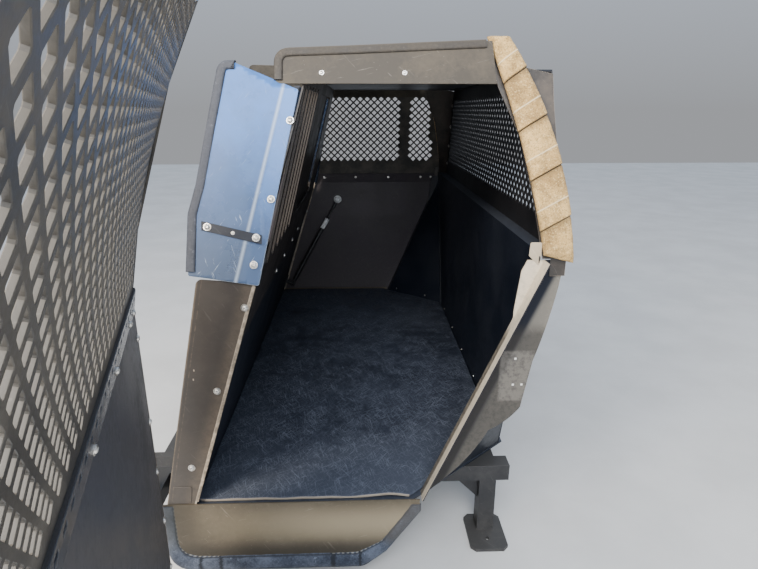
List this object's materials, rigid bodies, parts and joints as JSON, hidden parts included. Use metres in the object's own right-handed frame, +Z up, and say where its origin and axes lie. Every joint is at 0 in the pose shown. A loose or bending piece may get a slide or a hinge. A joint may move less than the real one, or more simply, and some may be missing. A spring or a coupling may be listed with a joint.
{
  "type": "police dog transport insert",
  "caption": "Metal dog kennel that fills a patrol car's rear seat space, with matted floor, leaning front partition, perforated screens and swinging side door leaves.",
  "frame": {"origin": "centre of the bolt pattern of the feet, on the floor they stand on", "axes": "+X to the rear of the car, +Y across the car to the closed far leaf, +Z up"},
  "size_m": [0.9, 2.5273, 1.1643],
  "materials": {
    "inner_panel": "black powder coat, dull and scuffed",
    "outer_panel": "dusty black powder coat",
    "guard": "black powder coat on perforated sheet",
    "liner": "black powder coat",
    "mat": "scuffed dark rubber",
    "edging": "grey rubber U-edging",
    "clear_sheet": "scratched clear polycarbonate",
    "bar": "black anodised flat bar",
    "wrap": "tan webbing wrapped in turns",
    "frame": "satin black paint",
    "strut": "gloss black paint",
    "bright": "plated steel"
  },
  "bodies": {
    "kennel": {"base_frame": "frame", "floor_pan": "inner_panel", "floor_mat": "mat", "front_panel": "inner_panel", "front_frame": "inner_panel", "door_tracks": "inner_panel", "rear_panel": "inner_panel", "rear_screen": "guard", "ceiling_panel": "outer_panel", "strut_bracket": "strut", "sill_plate_near": "outer_panel", "sill_plate_far": "outer_panel", "sill_trim_near": "edging", "sill_trim_far": "edging", "front_wing_near": "outer_panel", "front_wing_far": "outer_panel", "clear_wing_near": "clear_sheet", "clear_wing_far": "clear_sheet", "clear_trim_near": "edging", "clear_trim_far": "edging", "wing_bar_near": "bar", "wing_bar_far": "bar", "rear_wing_near": "outer_panel", "rear_wing_far": "outer_panel", "rear_post_near": "outer_panel", "rear_post_far": "outer_panel", "edge_pad_near": "wrap", "edge_pad_far": "wrap", "header_near": "outer_panel", "header_far": "outer_panel", "header_trim_near": "edging", "header_trim_far": "edging", "hinge_post_near": "frame", "hinge_post_far": "frame"},
    "near_leaf": {"leaf_liner_near": "liner", "leaf_guard_near": "guard", "leaf_hinges_near": "frame"},
    "far_leaf": {"leaf_liner_far": "liner", "leaf_guard_far": "guard", "leaf_hinges_far": "frame", "strut_stud": "bright"},
    "slide_door": {"slide_door": "inner_panel", "door_handle": "strut"},
    "strut_cylinder": {"strut_cylinder": "strut"},
    "strut_rod": {"strut_rod": "bright"}
  },
  "joints": [
    {"name": "near_leaf_hinge", "type": "hinge", "parent": "kennel", "child": "near_leaf", "pos_m": [-0.481, -0.86, 0.435], "axis": [0, 0, 1], "range_deg": [0, 74]},
    {"name": "far_leaf_hinge", "type": "hinge", "parent": "kennel", "child": "far_leaf", "pos_m": [-0.481, 0.86, 0.435], "axis": [0, 0, 1], "range_deg": [0, 74]},
    {"name": "slide_door_track", "type": "slide", "parent": "kennel", "child": "slide_door", "axis": [0, -1, 0], "range_m": [0, 0.4]},
    {"name": "strut_swivel", "type": "hinge", "parent": "kennel", "child": "strut_cylinder", "pos_m": [-0.312, 0.69, 0.238], "axis": [-0.8214, -0.2802, 0.4967], "range_deg": [0, 49.93]},
    {"name": "strut_stroke", "type": "slide", "parent": "strut_cylinder", "child": "strut_rod", "axis": [0.4885, 0.1037, 0.8664], "range_m": [0, 0.19555]}
  ],
  "couplings": [
    {"joint": "strut_swivel", "follows": "far_leaf_hinge", "ratio": 0.67476},
    {"joint": "strut_stroke", "follows": "far_leaf_hinge", "m_per_rad": 0.15141}
  ]
}
